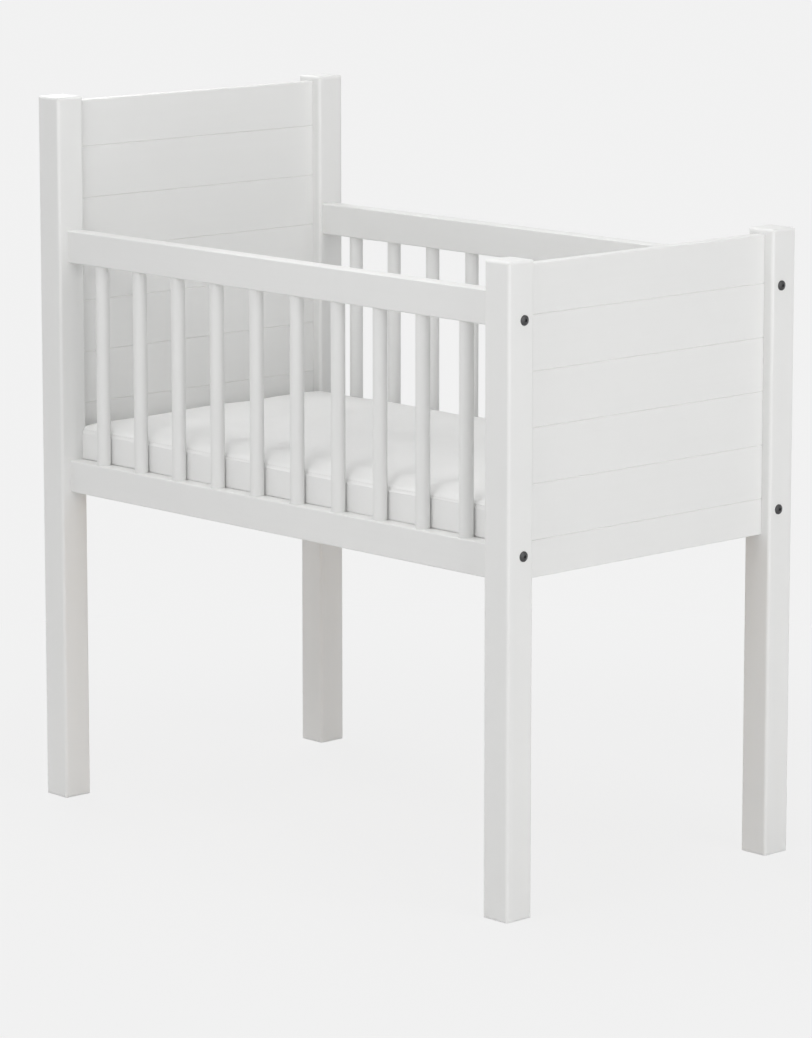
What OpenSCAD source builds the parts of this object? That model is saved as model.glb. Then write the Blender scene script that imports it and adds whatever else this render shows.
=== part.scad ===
// A small cradle that stands on four legs. Its head is higher than its foot,
// both ends are grooved panels, and both sides are rows of round slats.
// A slatted base lies loose on two ledgers and carries a loose mattress.
//
// The origin is on the floor under the middle of the cradle. X runs from the
// head (-X) to the foot (+X), Y from the front (-Y) to the back (+Y).
// Each repeated piece is drawn at the foot or at the back and mirrored over.

/* [Overall] */
// Length over the posts
cradle_length = 880; // [840:1:1000]
// Width over the posts
cradle_width = 500; // [470:1:620]
// Height of the two posts at the foot
foot_height = 800; // [785:1:900]
// Height of the two posts at the head
head_height = 936; // [850:1:1100]

/* [Posts] */
// Side of a post's square section
post_side = 42; // [40:1:54]
// Radius of a post's edges
post_edge_radius = 4; // [1:0.5:6]

/* [End panels] */
// Thickness of an end panel
panel_thickness = 14; // [10:1:18]
// How far a panel's outer face lies behind the posts' outer faces
panel_inset = 14; // [8:1:18]
// How far a panel's top edge lies below the posts' tops
panel_top_drop = 7; // [0:1:30]
// Depth of the groove in a post that holds the panel's edge
panel_seat = 10; // [5:1:11]
// Space between a panel and each wall of its grooves
panel_play = 0.1; // [0.05:0.05:0.5]
// Radius of a panel's top and bottom edges
panel_edge_radius = 1.5; // [0.5:0.5:4]
// Height of one board, from one V-groove to the next
board_pitch = 68; // [40:1:120]
// Width of a V-groove at the panel's face
v_groove_width = 1.6; // [1:0.1:6]
// Depth of a V-groove
v_groove_depth = 0.9; // [0.5:0.1:3]

/* [Rails] */
// Height of a rail's section
rail_height = 42; // [36:1:60]
// Thickness of a rail's section
rail_thickness = 23; // [20:1:26]
// How far a rail's outer face lies behind the posts' outer faces
rail_inset = 14; // [8:1:16]
// Radius of a rail's long edges
rail_edge_radius = 2; // [0.5:0.5:5]
// Height of the bottom rails' underside above the floor
bottom_rail_z = 414; // [250:1:440]
// Height of the top rails' underside above the floor
top_rail_z = 719; // [600:1:735]

/* [Side slats] */
// Number of slats in one side
slats_per_side = 10; // [4:1:10]
// Distance from a post to the axis of the slat next to it
slat_end_distance = 56; // [40:0.5:80]
// Diameter of a slat
slat_diameter = 18; // [14:0.5:20]
// Diameter of the tenon at each end of a slat
tenon_diameter = 11; // [8:0.5:13]
// Length of a tenon
tenon_length = 13; // [8:0.5:18]
// Radial space round a tenon
tenon_play = 0.1; // [0.05:0.05:0.4]
// Space left past a tenon's end in its blind hole
tenon_end_space = 0.5; // [0.2:0.1:2]

/* [Bolts and dowels] */
// Diameter of a connector bolt's shank
bolt_diameter = 6; // [5:0.5:7]
// Diameter of a bolt's head
bolt_head_diameter = 12.5; // [11:0.5:14.5]
// Height of a bolt's head, up to the middle of its dome
bolt_head_height = 3.5; // [2.5:0.25:5]
// Height of the dome on a bolt's head
bolt_head_dome = 1.6; // [0.5:0.1:2]
// Depth of the recess in the post that a bolt's head sits in
bolt_recess = 1; // [0.5:0.25:3]
// Distance across the flats of a bolt's hexagon socket
socket_width = 4; // [3:0.5:5]
// Depth of a bolt's hexagon socket
socket_depth = 2; // [1:0.25:2.25]
// How far a bolt's shank reaches into the rail
bolt_reach = 14; // [10:0.5:24]
// Radial space round a bolt's shank and head in the post
bolt_play = 0.3; // [0.1:0.1:0.8]
// Distance from a bolt's axis to the rail's edge at the slats
bolt_edge_distance = 10; // [7:0.5:12]
// Outer diameter of the threaded insert in a rail's end
insert_diameter = 9.5; // [9:0.5:11]
// Length of a threaded insert
insert_length = 16; // [10:0.5:20]
// Diameter of a locating dowel
dowel_diameter = 8; // [6:0.5:9]
// Length of a locating dowel
dowel_length = 40; // [20:1:44]
// Distance from a dowel's axis to the rail's edge away from the slats
dowel_edge_distance = 13; // [8:0.5:15]
// Radial space round an insert, a dowel or a bolt's thread
hole_play = 0.1; // [0.05:0.05:0.3]
// Space left past the end of a bolt or a dowel in its blind hole
hole_end_space = 1; // [0.5:0.5:4]
// Width of the slope at the ends of bolts and dowels
end_slope = 0.8; // [0.2:0.1:1.5]

/* [Ledgers and base] */
// Width of a ledger, across the cradle
ledger_width = 18; // [14:1:24]
// Height of a ledger
ledger_height = 18; // [12:1:24]
// Height of a ledger's underside above the bottom rail's underside
ledger_rise = 7; // [0:0.5:14]
// Space between a ledger's end and the post
ledger_end_gap = 8; // [2:1:40]
// Number of slats in the base
base_slat_count = 9; // [5:1:12]
// Width of a base slat
base_slat_width = 50; // [30:1:60]
// Thickness of a base slat
base_slat_thickness = 9; // [7:0.5:14]
// Space between the base and each rail
base_side_gap = 3; // [1:0.5:6]
// Space between the base and the posts at each end
base_end_gap = 3; // [1:0.5:8]
// Width of a bearer under the base slats
bearer_width = 30; // [20:1:50]
// Height of a bearer
bearer_height = 12; // [10:1:20]
// Distance from the cradle's middle to a bearer's middle
bearer_offset = 120; // [60:1:150]
// Radius of the long edges of ledgers, base slats and bearers
batten_edge_radius = 1.5; // [0.5:0.25:3]

/* [Screws] */
// Diameter of a wood screw's shank
screw_diameter = 3.5; // [3:0.25:4.5]
// Diameter of a screw's countersunk head
screw_head_diameter = 7; // [6:0.25:9]
// Length of the screws that hold the ledgers
ledger_screw_length = 30; // [26:1:38]
// Number of screws in one ledger
ledger_screw_count = 4; // [2:1:6]
// Length of the screws that hold the base slats
base_screw_length = 18; // [14:0.5:20]
// Radial space round a screw
screw_play = 0.1; // [0.05:0.05:0.3]
// Length of a screw's pointed tip
screw_tip_length = 4; // [2:0.5:6]
// Width of a slot of the cross recess in a screw's head
cross_slot_width = 0.9; // [0.6:0.1:1.2]
// Length of a slot of the cross recess
cross_slot_length = 3.6; // [2:0.1:4.5]
// Depth of the cross recess
cross_slot_depth = 1.2; // [0.6:0.1:1.6]

/* [Mattress] */
// Space between each end of the mattress and the end panel
mattress_end_gap = 6; // [3:0.5:15]
// Space between each side of the mattress and the rails or posts beside it
mattress_side_gap = 1; // [0.5:0.5:15]
// Thickness of the mattress at its edges
mattress_thickness = 58; // [40:1:90]
// How much higher the middle of the mattress is than its edges
mattress_crown = 4; // [1:0.5:12]
// Radius of the mattress's corners, seen from above
mattress_corner_radius = 34; // [15:1:60]
// How far in the rounding of its upper edges reaches
mattress_upper_round = 18; // [8:1:30]
// How far in the rounding of its lower edges reaches
mattress_lower_round = 7; // [3:1:30]
// How far the middle of each side is drawn in
mattress_draw = 1; // [0:0.5:8]
// Space between the mattress and the base slats
mattress_lift = 0.3; // [0.2:0.1:1]

/* [Hidden] */
$fn = 64;

// Colours of the pieces
white_paint = [0.93, 0.93, 0.92];
black_metal = [0.12, 0.12, 0.13];
bright_steel = [0.70, 0.71, 0.73];
bare_wood = [0.80, 0.66, 0.47];
white_fabric = [0.96, 0.96, 0.95];

// Extra length of a cut past the faces that it goes through
cut_over = 1;

// Each end is its name, its side of X and the height of its posts
ENDS = [["head", -1, head_height], ["foot", 1, foot_height]];
// Each side is its name and its side of Y
SIDES = [["front", -1], ["back", 1]];

// Faces of the frame at the foot and at the back
end_face_x = cradle_length / 2;
side_face_y = cradle_width / 2;
post_inner_x = end_face_x - post_side;
post_inner_y = side_face_y - post_side;
panel_outer_x = end_face_x - panel_inset;
panel_inner_x = panel_outer_x - panel_thickness;
rail_y = side_face_y - rail_inset - rail_thickness / 2;
rail_inner_y = rail_y - rail_thickness / 2;

// Heights
bottom_rail_top_z = bottom_rail_z + rail_height;
top_rail_top_z = top_rail_z + rail_height;
ledger_z = bottom_rail_z + ledger_rise;
base_slat_z = ledger_z + ledger_height;
base_top_z = base_slat_z + base_slat_thickness;
mattress_z = base_top_z + mattress_lift;

// Each level is its name, its rail's underside, its bolts' and its dowels' height
LEVELS = [
    ["bottom", bottom_rail_z, bottom_rail_top_z - bolt_edge_distance, bottom_rail_z + dowel_edge_distance],
    ["top", top_rail_z, top_rail_z + bolt_edge_distance, top_rail_top_z - dowel_edge_distance]
];

// Pieces between the posts
rail_length = 2 * post_inner_x;
slat_pitch = (rail_length - 2 * slat_end_distance) / (slats_per_side - 1);
ledger_length = rail_length - 2 * ledger_end_gap;
ledger_y = rail_inner_y - ledger_width / 2;
base_half_length = post_inner_x - base_end_gap;
base_half_width = rail_inner_y - base_side_gap;
base_slat_pitch = (2 * base_half_length - base_slat_width) / (base_slat_count - 1);
ledger_screw_pitch = ledger_length / ledger_screw_count;

// Places along X, each row spread evenly about the middle
function row(count, pitch) = [for (i = [0 : count - 1]) (i - (count - 1) / 2) * pitch];
slat_places = row(slats_per_side, slat_pitch);
base_slat_places = row(base_slat_count, base_slat_pitch);
ledger_screw_places = row(ledger_screw_count, ledger_screw_pitch);

// Mattress: half its length and width. Its sides reach the rails, because its
// round corners have turned in by the relief where the posts begin.
mattress_half_length = panel_inner_x - mattress_end_gap;
corner_start_x = mattress_half_length - mattress_corner_radius;
corner_run = min(mattress_corner_radius, max(0, post_inner_x - corner_start_x));
corner_relief = mattress_corner_radius - sqrt(pow(mattress_corner_radius, 2) - pow(corner_run, 2));
mattress_half_width = min(rail_inner_y, post_inner_y + corner_relief) - mattress_side_gap;

// Points in the mattress's outline and section
corner_steps = 6;
long_side_steps = 8;
short_side_steps = 4;
edge_steps = 10;
crown_steps = 3;
// Bluntness of the rounded edge: 1 is a plain quarter round, less is squarer
edge_bluntness = 0.6;

function numbered(name, count) = [for (i = [1 : count]) str(name, "_", i)];

// Moves a piece drawn at the foot and the back to its own end and side
module at_end(x_side) {
    mirror([x_side < 0 ? 1 : 0, 0, 0]) children();
}

module at_side(y_side) {
    mirror([0, y_side < 0 ? 1 : 0, 0]) children();
}

module at_every_corner() {
    for (e = ENDS, s = SIDES) at_end(e[1]) at_side(s[1]) children();
}

// Turns a piece drawn along +Z to lie along +X or along +Y
module along_x() {
    rotate([90, 0, 90]) children();
}

module along_y() {
    rotate([-90, 0, 0]) children();
}

module rounded_rectangle(width, height, radius) {
    square([width - 2 * radius, height], center = true);
    square([width, height - 2 * radius], center = true);
    for (x = [-1, 1], y = [-1, 1])
        translate([x * (width / 2 - radius), y * (height / 2 - radius)]) circle(r = radius);
}

// Bar along X, centred in X and Y, that stands on z = 0
module bar_x(length, width, height, radius) {
    translate([-length / 2, 0, height / 2])
        along_x()
            linear_extrude(length) rounded_rectangle(width, height, radius);
}

// Bar along Y, centred in X and Y, that stands on z = 0
module bar_y(length, width, height, radius) {
    translate([0, -length / 2, height / 2])
        along_y()
            linear_extrude(length) rounded_rectangle(width, height, radius);
}

// Square post that stands on z = 0, with every edge rounded
module rounded_post(height) {
    intersection() {
        linear_extrude(height) rounded_rectangle(post_side, post_side, post_edge_radius);
        bar_x(post_side + cut_over, post_side, height, post_edge_radius);
        bar_y(post_side + cut_over, post_side, height, post_edge_radius);
    }
}

// Pin along +Z with a slope at its far end
module sloped_pin(diameter, length, slope) {
    cylinder(d = diameter, h = length - slope);
    translate([0, 0, length - slope])
        cylinder(d1 = diameter, d2 = diameter - 2 * slope, h = slope);
}

// Place and direction of the bolts, at the foot and the back
module at_bolts(x) {
    for (level = LEVELS)
        translate([x, rail_y, level[2]]) along_x() children();
}

// Place and direction of the dowels, at the foot and the back
module at_dowels(x) {
    for (level = LEVELS)
        translate([x, rail_y, level[3]]) along_x() children();
}

// Holes for bolts and dowels in a post
module post_holes() {
    at_bolts(post_inner_x - cut_over)
        cylinder(d = bolt_diameter + 2 * bolt_play, h = post_side + 2 * cut_over);
    at_bolts(end_face_x - bolt_recess)
        cylinder(d = bolt_head_diameter + 2 * bolt_play, h = bolt_recess + cut_over);
    at_dowels(post_inner_x - cut_over)
        cylinder(d = dowel_diameter + 2 * hole_play, h = cut_over + dowel_length / 2 + hole_end_space);
}

// Groove in a post that holds the end panel's edge
module panel_groove(height) {
    translate([panel_inner_x - panel_play, post_inner_y - cut_over, bottom_rail_z - panel_play])
        cube([
            panel_thickness + 2 * panel_play,
            panel_seat + cut_over,
            height - panel_top_drop - bottom_rail_z + 2 * panel_play
        ]);
}

module post(end, side) {
    color(white_paint)
        at_end(end[1]) at_side(side[1])
            difference() {
                translate([end_face_x - post_side / 2, side_face_y - post_side / 2, 0])
                    rounded_post(end[2]);
                post_holes();
                panel_groove(end[2]);
            }
}

// V-groove along Y, with its mouth at x = 0 and its depth towards -X
module v_groove(length) {
    translate([0, -length / 2, 0])
        along_y()
            linear_extrude(length)
                polygon([
                    [-v_groove_depth, 0],
                    [0, v_groove_width / 2],
                    [cut_over, v_groove_width / 2],
                    [cut_over, -v_groove_width / 2],
                    [0, -v_groove_width / 2]
                ]);
}

module end_panel(end) {
    panel_length = 2 * (post_inner_y + panel_seat - panel_play);
    panel_height = end[2] - panel_top_drop - bottom_rail_z;
    groove_count = floor((end[2] - bottom_rail_z - v_groove_width) / board_pitch);
    color(white_paint)
        at_end(end[1])
            difference() {
                translate([(panel_inner_x + panel_outer_x) / 2, 0, bottom_rail_z])
                    bar_y(panel_length, panel_thickness, panel_height, panel_edge_radius);
                for (k = [1 : groove_count]) {
                    groove_z = end[2] - k * board_pitch;
                    translate([panel_outer_x, 0, groove_z])
                        v_groove(panel_length + 2 * cut_over);
                    translate([panel_inner_x, 0, groove_z])
                        mirror([1, 0, 0]) v_groove(panel_length + 2 * cut_over);
                }
            }
}

// Blind holes in a rail's foot end: the insert's, the bolt tip's and the dowel's
module rail_end_holes() {
    at_bolts(post_inner_x - insert_length)
        cylinder(d = insert_diameter + 2 * hole_play, h = insert_length + cut_over);
    at_bolts(post_inner_x - bolt_reach - hole_end_space)
        cylinder(d = bolt_diameter + 2 * bolt_play, h = bolt_reach + hole_end_space + cut_over);
    at_dowels(post_inner_x - dowel_length / 2 - hole_end_space)
        cylinder(d = dowel_diameter + 2 * hole_play, h = dowel_length / 2 + hole_end_space + cut_over);
}

// Blind holes for the slats' tenons, from the lower rails up into the upper ones
module tenon_holes() {
    depth = tenon_length + tenon_end_space;
    for (x = slat_places)
        translate([x, rail_y, bottom_rail_top_z - depth])
            cylinder(d = tenon_diameter + 2 * tenon_play, h = top_rail_z - bottom_rail_top_z + 2 * depth);
}

module rail(level, side) {
    color(white_paint)
        at_side(side[1])
            difference() {
                translate([0, rail_y, level[1]])
                    bar_x(rail_length, rail_thickness, rail_height, rail_edge_radius);
                for (x_side = [-1, 1]) at_end(x_side) rail_end_holes();
                tenon_holes();
                if (level[0] == "bottom") at_ledger_screws() screw_hole(ledger_screw_length);
            }
}

module side_slat(side, number) {
    length = top_rail_z - bottom_rail_top_z;
    color(white_paint)
        at_side(side[1])
            translate([slat_places[number - 1], rail_y, bottom_rail_top_z]) {
                cylinder(d = slat_diameter, h = length);
                translate([0, 0, -tenon_length])
                    cylinder(d = tenon_diameter, h = length + 2 * tenon_length);
            }
}

// Bolt along +X with its domed head's seat at x = 0
module connector_bolt() {
    shank_length = post_side - bolt_recess + bolt_reach;
    socket_diameter = socket_width / cos(30);
    // The dome is the cap of a sphere that meets the head's side
    dome_radius = (pow(bolt_head_diameter / 2, 2) + pow(bolt_head_dome, 2)) / (2 * bolt_head_dome);
    mirror([1, 0, 0]) along_x() sloped_pin(bolt_diameter, shank_length, end_slope);
    along_x()
        difference() {
            intersection() {
                cylinder(d = bolt_head_diameter, h = bolt_head_height);
                translate([0, 0, bolt_head_height - dome_radius]) sphere(r = dome_radius);
            }
            translate([0, 0, bolt_head_height - socket_depth])
                cylinder(d = socket_diameter, h = socket_depth + cut_over, $fn = 6);
        }
}

module connector_bolts() {
    color(black_metal)
        at_every_corner()
            for (level = LEVELS)
                translate([end_face_x - bolt_recess, rail_y, level[2]]) connector_bolt();
}

// Inserts lie flush with the rails' ends
module threaded_inserts() {
    color(bright_steel)
        at_every_corner()
            at_bolts(post_inner_x - insert_length)
                difference() {
                    cylinder(d = insert_diameter, h = insert_length);
                    translate([0, 0, -cut_over])
                        cylinder(d = bolt_diameter + 2 * hole_play, h = insert_length + 2 * cut_over);
                }
}

// Half of each dowel is in the post and half in the rail
module locating_dowels() {
    color(bare_wood)
        at_every_corner()
            at_dowels(post_inner_x) {
                sloped_pin(dowel_diameter, dowel_length / 2, end_slope);
                mirror([0, 0, 1]) sloped_pin(dowel_diameter, dowel_length / 2, end_slope);
            }
}

// Countersunk screw whose head's face is at z = 0 and whose tip is down
module wood_screw(length) {
    head_height = (screw_head_diameter - screw_diameter) / 2;
    difference() {
        union() {
            translate([0, 0, -head_height])
                cylinder(d1 = screw_diameter, d2 = screw_head_diameter, h = head_height);
            translate([0, 0, screw_tip_length - length])
                cylinder(d = screw_diameter, h = length - screw_tip_length - head_height / 2);
            translate([0, 0, -length])
                cylinder(d1 = screw_diameter / 4, d2 = screw_diameter, h = screw_tip_length);
        }
        for (turn = [0, 90])
            rotate(turn)
                translate([-cross_slot_length / 2, -cross_slot_width / 2, -cross_slot_depth])
                    cube([cross_slot_length, cross_slot_width, cross_slot_depth + cut_over]);
    }
}

// The hole for such a screw, with its countersink
module screw_hole(length) {
    head_height = (screw_head_diameter - screw_diameter) / 2;
    translate([0, 0, -length - screw_play])
        cylinder(d = screw_diameter + 2 * screw_play, h = length + screw_play + cut_over);
    translate([0, 0, -head_height - screw_play])
        cylinder(d1 = screw_diameter, d2 = screw_head_diameter, h = head_height);
    translate([0, 0, -screw_play])
        cylinder(d = screw_head_diameter, h = screw_play + cut_over);
}

// Ledger screws go outwards at the back, from the ledger's inner face
module at_ledger_screws() {
    for (x = ledger_screw_places)
        translate([x, ledger_y - ledger_width / 2, ledger_z + ledger_height / 2])
            rotate([90, 0, 0]) children();
}

module ledger(side) {
    color(bare_wood)
        at_side(side[1])
            difference() {
                translate([0, ledger_y, ledger_z])
                    bar_x(ledger_length, ledger_width, ledger_height, batten_edge_radius);
                at_ledger_screws() screw_hole(ledger_screw_length);
            }
}

module ledger_screws() {
    color(bright_steel)
        for (s = SIDES) at_side(s[1])
            at_ledger_screws() wood_screw(ledger_screw_length);
}

// Base screws go down through the base slats into the bearer at the back
module at_base_screws() {
    for (x = base_slat_places)
        translate([x, bearer_offset, base_top_z]) children();
}

module base_slat(number) {
    x = base_slat_places[number - 1];
    color(bare_wood)
        difference() {
            translate([x, 0, base_slat_z])
                bar_y(2 * base_half_width, base_slat_width, base_slat_thickness, batten_edge_radius);
            for (s = SIDES) at_side(s[1])
                translate([x, bearer_offset, base_top_z]) screw_hole(base_screw_length);
        }
}

module base_bearer(side) {
    color(bare_wood)
        at_side(side[1])
            difference() {
                translate([0, bearer_offset, base_slat_z - bearer_height])
                    bar_x(2 * base_half_length, bearer_width, bearer_height, batten_edge_radius);
                at_base_screws() screw_hole(base_screw_length);
            }
}

module base_screws() {
    color(bright_steel)
        for (s = SIDES) at_side(s[1])
            at_base_screws() wood_screw(base_screw_length);
}

// Half of an outline with round corners, whose sides are drawn in at their middles
function half_outline(a, b, r, draw) = concat(
    [for (i = [0 : corner_steps]) let (t = 90 * i / corner_steps)
        [a - r + r * cos(t), b - r + r * sin(t)]],
    [for (i = [1 : long_side_steps - 1]) let (t = i / long_side_steps)
        [(a - r) * (1 - 2 * t), b - draw * sin(180 * t)]],
    [for (i = [0 : corner_steps]) let (t = 90 + 90 * i / corner_steps)
        [r - a + r * cos(t), b - r + r * sin(t)]],
    [for (i = [1 : short_side_steps - 1]) let (t = i / short_side_steps)
        [draw * sin(180 * t) - a, (b - r) * (1 - 2 * t)]]
);

// One ring of the mattress, moved in from its outline by inset, at height z
function mattress_ring(inset, z) =
    let (half = half_outline(
        mattress_half_length - inset, mattress_half_width - inset, mattress_corner_radius, mattress_draw))
    concat([for (p = half) [p[0], p[1], z]], [for (p = half) [-p[0], -p[1], z]]);

// Inset and height of each ring, up round the edge and in over the crown
function mattress_section() =
    let (crown_run = (mattress_half_width - mattress_upper_round - mattress_corner_radius) / (crown_steps + 1))
    concat(
        [for (i = [0 : edge_steps]) let (t = 180 * i / edge_steps - 90)
            [
                (t < 0 ? mattress_lower_round : mattress_upper_round) * (1 - pow(abs(cos(t)), edge_bluntness)),
                mattress_thickness / 2 * (1 + sign(t) * pow(abs(sin(t)), edge_bluntness))
            ]],
        [for (i = [1 : crown_steps])
            [
                mattress_upper_round + i * crown_run,
                mattress_thickness + mattress_crown * sin(90 * i / (crown_steps + 1))
            ]]
    );

module mattress() {
    rings = [for (place = mattress_section()) mattress_ring(place[0], mattress_z + place[1])];
    count = len(rings[0]);
    last = len(rings) - 1;
    points = concat(
        [for (ring = rings) each ring],
        [[0, 0, mattress_z], [0, 0, mattress_z + mattress_thickness + mattress_crown]]
    );
    bottom_centre = len(points) - 2;
    top_centre = len(points) - 1;
    faces = [for (i = [0 : count - 1]) let (next = (i + 1) % count) each concat(
        [[bottom_centre, i, next]],
        [for (j = [0 : last - 1]) each [
            [j * count + i, (j + 1) * count + i, (j + 1) * count + next],
            [j * count + i, (j + 1) * count + next, j * count + next]
        ]],
        [[top_centre, last * count + next, last * count + i]]
    )];
    color(white_fabric) polyhedron(points, faces);
}

for (e = ENDS, s = SIDES)
    post(e, s);
for (e = ENDS)
    end_panel(e);
for (level = LEVELS, s = SIDES)
    rail(level, s);
for (s = SIDES, i = [1 : slats_per_side])
    side_slat(s, i);
connector_bolts();
threaded_inserts();
locating_dowels();
for (s = SIDES)
    ledger(s);
ledger_screws();
for (i = [1 : base_slat_count])
    base_slat(i);
for (s = SIDES)
    base_bearer(s);
base_screws();
mattress();
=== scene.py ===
# %% [markdown]
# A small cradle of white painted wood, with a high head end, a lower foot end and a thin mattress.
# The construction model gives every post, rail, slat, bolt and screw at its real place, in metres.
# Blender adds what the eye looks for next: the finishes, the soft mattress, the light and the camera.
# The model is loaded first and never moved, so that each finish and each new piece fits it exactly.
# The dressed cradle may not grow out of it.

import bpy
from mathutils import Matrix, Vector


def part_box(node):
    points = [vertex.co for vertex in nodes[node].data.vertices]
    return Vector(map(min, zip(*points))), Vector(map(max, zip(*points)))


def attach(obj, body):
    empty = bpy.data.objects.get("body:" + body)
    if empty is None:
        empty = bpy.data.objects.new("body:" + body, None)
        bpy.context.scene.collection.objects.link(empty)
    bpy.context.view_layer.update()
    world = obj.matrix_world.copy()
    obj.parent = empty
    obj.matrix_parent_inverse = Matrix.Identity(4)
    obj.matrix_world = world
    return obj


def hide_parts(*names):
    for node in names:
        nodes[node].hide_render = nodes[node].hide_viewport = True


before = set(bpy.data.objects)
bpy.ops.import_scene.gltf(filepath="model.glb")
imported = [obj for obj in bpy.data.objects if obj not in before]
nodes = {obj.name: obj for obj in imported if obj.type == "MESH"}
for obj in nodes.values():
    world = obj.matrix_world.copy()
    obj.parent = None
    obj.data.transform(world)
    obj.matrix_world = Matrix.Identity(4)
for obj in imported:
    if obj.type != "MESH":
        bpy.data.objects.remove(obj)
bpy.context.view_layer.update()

# %% [markdown]
# A photograph of furniture is taken from some metres away with a long lens, so its legs stay parallel.
# The camera stands to the front and the foot end, higher than the head end, and looks slightly down.
# A small lens shift moves the frame down without tilting the camera more, so the legs stay more upright.
# It is written as a place and two turns, because these read like the instructions to a photographer.

# %% Camera
import math

import bpy
from mathutils import Matrix, Vector

CAMERA_PLACE = (4.1470, -3.8918, 1.4744)
CAMERA_HEADING = 46.84
CAMERA_TILT = 9.40
CAMERA_LENS = 155.3
CAMERA_SHIFT = -0.0963

scene = bpy.context.scene
scene.view_settings.view_transform = "Standard"


def camera_turn(heading, tilt):
    """Turn of a level camera that looks along +Y at heading 0, then is tilted down, in degrees."""
    return Matrix.Rotation(math.radians(heading), 4, "Z") @ Matrix.Rotation(math.radians(90 - tilt), 4, "X")


lens = bpy.data.cameras.new("studio_camera")
lens.lens = CAMERA_LENS
lens.sensor_width = 36.0
lens.shift_y = CAMERA_SHIFT
camera = bpy.data.objects.new("studio_camera", lens)
scene.collection.objects.link(camera)
camera.matrix_world = Matrix.Translation(CAMERA_PLACE) @ camera_turn(CAMERA_HEADING, CAMERA_TILT)
scene.camera = camera
print("camera", round(camera.location.length, 2), "m from the middle of the floor, lens", lens.lens, "mm")

# %% [markdown]
# A material is a small tree of nodes. A few helpers keep the trees readable.
# The first adds one node, sets its choices and fills its sockets with numbers or with links.
# The others make the nodes that come up most: arithmetic, a change of range, and noise.

# %% Helpers for nodes
def add(tree, kind, inputs=None, **choices):
    """Adds one shader node. inputs holds a number or another node's output for each socket."""
    made = tree.nodes.new("ShaderNode" + kind)
    for name, value in choices.items():
        setattr(made, name, value)
    for socket, value in (inputs or {}).items():
        if isinstance(value, bpy.types.NodeSocket):
            tree.links.new(value, made.inputs[socket])
        else:
            made.inputs[socket].default_value = value
    return made


def calc(tree, operation, a, b=0.0, c=0.0):
    """One step of arithmetic in a tree. Returns its result socket."""
    return add(tree, "Math", {0: a, 1: b, 2: c}, operation=operation).outputs[0]


def vary(tree, start, mask, change):
    """A value that moves away from its start by a mask times a change."""
    return calc(tree, "MULTIPLY_ADD", mask, change, start)


def remap(tree, value, start, end, low=0.0, high=1.0, curve="LINEAR"):
    """Low where the value is at the start, high where it is at the end, and never beyond them."""
    sockets = {0: value, 1: start, 2: end, 3: low, 4: high}
    return add(tree, "MapRange", sockets, interpolation_type=curve).outputs[0]


def noise(tree, place, scale, detail, roughness=0.5, distortion=0.0):
    """Cloudy noise, with its scale in lumps per metre. Returns its value socket."""
    sockets = {"Vector": place, "Scale": scale, "Detail": detail, "Roughness": roughness,
               "Distortion": distortion}
    return add(tree, "TexNoise", sockets).outputs[0]


print("helpers for nodes: add, calc, vary, remap and noise")

# %% [markdown]
# Grain, wear and paint show on several materials. Copying their nodes into each would be hard to change.
# A node group is a tree with named sockets that is built once and used in many materials.
# Opening a group makes its sockets, and closing it links the results to the group's outputs.

# %% Helpers for node groups
def open_group(name, inputs, outputs):
    """Makes a node group. inputs gives each value's default, or None for a position."""
    tree = bpy.data.node_groups.new(name, "ShaderNodeTree")
    for label, start in inputs.items():
        kind = "NodeSocketVector" if start is None else "NodeSocketFloat"
        socket = tree.interface.new_socket(label, in_out="INPUT", socket_type=kind)
        if start is not None:
            socket.default_value = start
    for label in outputs:
        tree.interface.new_socket(label, in_out="OUTPUT", socket_type="NodeSocketFloat")
    inside = tree.nodes.new("NodeGroupInput")
    return tree, inside.outputs, tree.nodes.new("NodeGroupOutput")


def close_group(tree, end, **results):
    """Links each result to the group's output of that name, with _ for a space."""
    for label, socket in results.items():
        tree.links.new(socket, end.inputs[label.replace("_", " ")])
    print("node group", tree.name, "with", len(tree.nodes), "nodes")
    return tree


def use_group(tree, group, inputs):
    """Places a group in a material's tree and fills its sockets."""
    return add(tree, "Group", inputs, node_tree=group)


print("helpers for node groups: open_group, close_group and use_group")

# %% [markdown]
# Wood shows long streaks along its grain, and they still show faintly as relief under paint.
# They could be drawn on the boards, but then every board needs its own picture.
# A noise that is stretched along the grain makes them in the solid, so each piece gets its own streaks.
# The group is shared by the bare pine, where it also colours the wood, and by the painted pieces.

# %% Node group for wood grain
FINE_STREAKS = 9.0  # the pores are so many times finer than the streaks
LATE_WOOD_RISE = 0.6  # hard late wood stands up in the relief
PORE_DEPTH = -0.4  # and pores are small pits


def grain_group():
    """Long streaks along X, with fine pores between them."""
    inputs = {"Position": None, "Streaks per metre": 90.0, "Stretch": 24.0}
    tree, given, end = open_group("wood grain", inputs, ["Height", "Late wood", "Pores"])
    streaks = given["Streaks per metre"]
    squeeze = add(tree, "CombineXYZ", {0: calc(tree, "DIVIDE", 1.0, given["Stretch"]), 1: 1.0, 2: 1.0})
    along = add(tree, "VectorMath", {0: given["Position"], 1: squeeze.outputs[0]}, operation="MULTIPLY")
    bands = noise(tree, along.outputs[0], streaks, detail=3.0, roughness=0.55, distortion=0.35)
    fine_scale = calc(tree, "MULTIPLY", streaks, FINE_STREAKS)
    fine = noise(tree, along.outputs[0], fine_scale, detail=2.0, roughness=0.6)
    late = remap(tree, bands, start=0.42, end=0.66, curve="SMOOTHSTEP")
    pores = remap(tree, fine, start=0.60, end=0.72, curve="SMOOTHSTEP")
    height = vary(tree, calc(tree, "MULTIPLY", late, LATE_WOOD_RISE), pores, PORE_DEPTH)
    return close_group(tree, end, Height=height, Late_wood=late, Pores=pores)


wood_grain = grain_group()

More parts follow.
